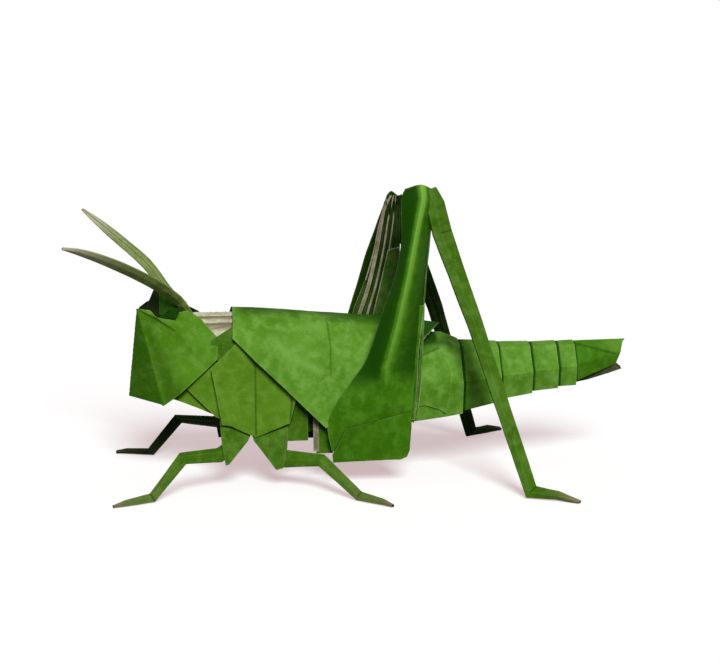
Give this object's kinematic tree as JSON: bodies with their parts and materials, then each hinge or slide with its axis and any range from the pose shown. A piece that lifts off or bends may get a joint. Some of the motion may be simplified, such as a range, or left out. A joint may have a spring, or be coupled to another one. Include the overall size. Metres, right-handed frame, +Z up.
{
  "type": "origami locust nymph",
  "caption": "Locust nymph folded from one sheet of green paper: hooded head with antennae, saddle, pleated tail, and legs with tall hind knees.",
  "frame": {"origin": "on the ground under the middle of the whole model, soles at z = 0", "axes": "+X towards the tail, -X towards the head, +Z up, -Y is the near side of the picture"},
  "size_m": [0.1408, 0.0766, 0.0736],
  "materials": {
    "green_paper": "matt, hand-coloured with visible fibres"
  },
  "bodies": {
    "root": {"folded_sheet": "green_paper"}
  },
  "joints": []
}
